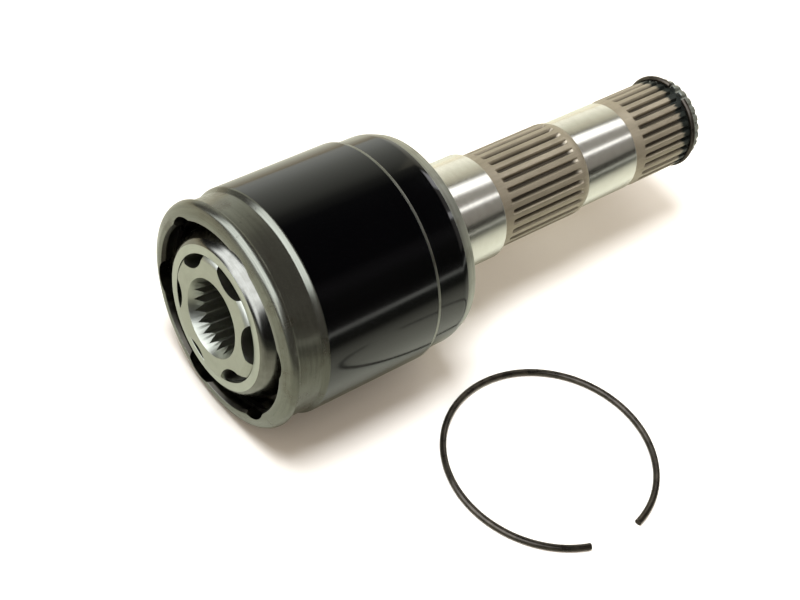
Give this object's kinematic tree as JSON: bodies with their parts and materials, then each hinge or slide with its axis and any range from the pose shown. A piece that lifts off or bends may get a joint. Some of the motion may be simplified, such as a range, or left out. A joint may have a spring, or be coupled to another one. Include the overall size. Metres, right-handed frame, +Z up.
{
  "type": "cv joint",
  "caption": "Inboard plunging constant velocity joint: black bell with bare rim, splined stub shaft, ball cage and splined inner race, with a wire snap ring beside it.",
  "frame": {"origin": "on the joint's axis at the open mouth, in the plane of the cage's front, 1.1 mm ahead of the rim's face", "axes": "+X along the axis from the mouth to the splined end of the stub, +Z up with the joint lying on its side"},
  "size_m": [0.1864, 0.1402, 0.07],
  "materials": {
    "bell_steel": "gloss black paint on the bell, turned bare steel at the rim and journals, dull phosphate on the splines",
    "race_steel": "ground hardened steel",
    "cage_steel": "ground and polished steel",
    "ball_steel": "polished bearing ball",
    "spring_wire": "dark oiled spring steel wire"
  },
  "bodies": {
    "housing": {"outer_race": "bell_steel", "stub_circlip": "spring_wire"},
    "tilt_axis_balls": {"ball_3": "ball_steel", "ball_6": "ball_steel"},
    "cage": {"cage": "cage_steel"},
    "inner_race": {"inner_race": "race_steel"},
    "ball_1": {"ball_1": "ball_steel"},
    "ball_2": {"ball_2": "ball_steel"},
    "ball_4": {"ball_4": "ball_steel"},
    "ball_5": {"ball_5": "ball_steel"},
    "snap_ring": {"snap_ring": "spring_wire"}
  },
  "joints": [
    {"name": "plunge", "type": "slide", "parent": "housing", "child": "tilt_axis_balls", "axis": [1, 0, 0], "range_m": [-0.004, 0.025]},
    {"name": "cage_tilt", "type": "hinge", "parent": "tilt_axis_balls", "child": "cage", "pos_m": [0.01805, 0, 0], "axis": [0, -0.9511, 0.309], "range_deg": [-8, 12]},
    {"name": "inner_race_tilt", "type": "hinge", "parent": "cage", "child": "inner_race", "pos_m": [0.01165, 0.00007, 0.00022], "axis": [0, -0.9511, 0.309], "range_deg": [-8, 12]},
    {"name": "ball_1_travel", "type": "slide", "parent": "tilt_axis_balls", "child": "ball_1", "axis": [1, 0, 0], "range_m": [-0.0044, 0.0044]},
    {"name": "ball_2_travel", "type": "slide", "parent": "tilt_axis_balls", "child": "ball_2", "axis": [1, 0, 0], "range_m": [-0.0044, 0.0044]},
    {"name": "ball_4_travel", "type": "slide", "parent": "tilt_axis_balls", "child": "ball_4", "axis": [1, 0, 0], "range_m": [-0.0044, 0.0044]},
    {"name": "ball_5_travel", "type": "slide", "parent": "tilt_axis_balls", "child": "ball_5", "axis": [1, 0, 0], "range_m": [-0.0044, 0.0044]},
    {"name": "snap_ring_lift", "type": "slide", "parent": "housing", "child": "snap_ring", "axis": [0, 0, 1], "range_m": [0, 0.06]}
  ],
  "couplings": [
    {"joint": "inner_race_tilt", "follows": "cage_tilt", "ratio": 1},
    {"joint": "ball_1_travel", "follows": "cage_tilt", "m_per_rad": -0.019962},
    {"joint": "ball_2_travel", "follows": "cage_tilt", "m_per_rad": -0.019962},
    {"joint": "ball_4_travel", "follows": "cage_tilt", "m_per_rad": 0.019962},
    {"joint": "ball_5_travel", "follows": "cage_tilt", "m_per_rad": 0.019962}
  ]
}
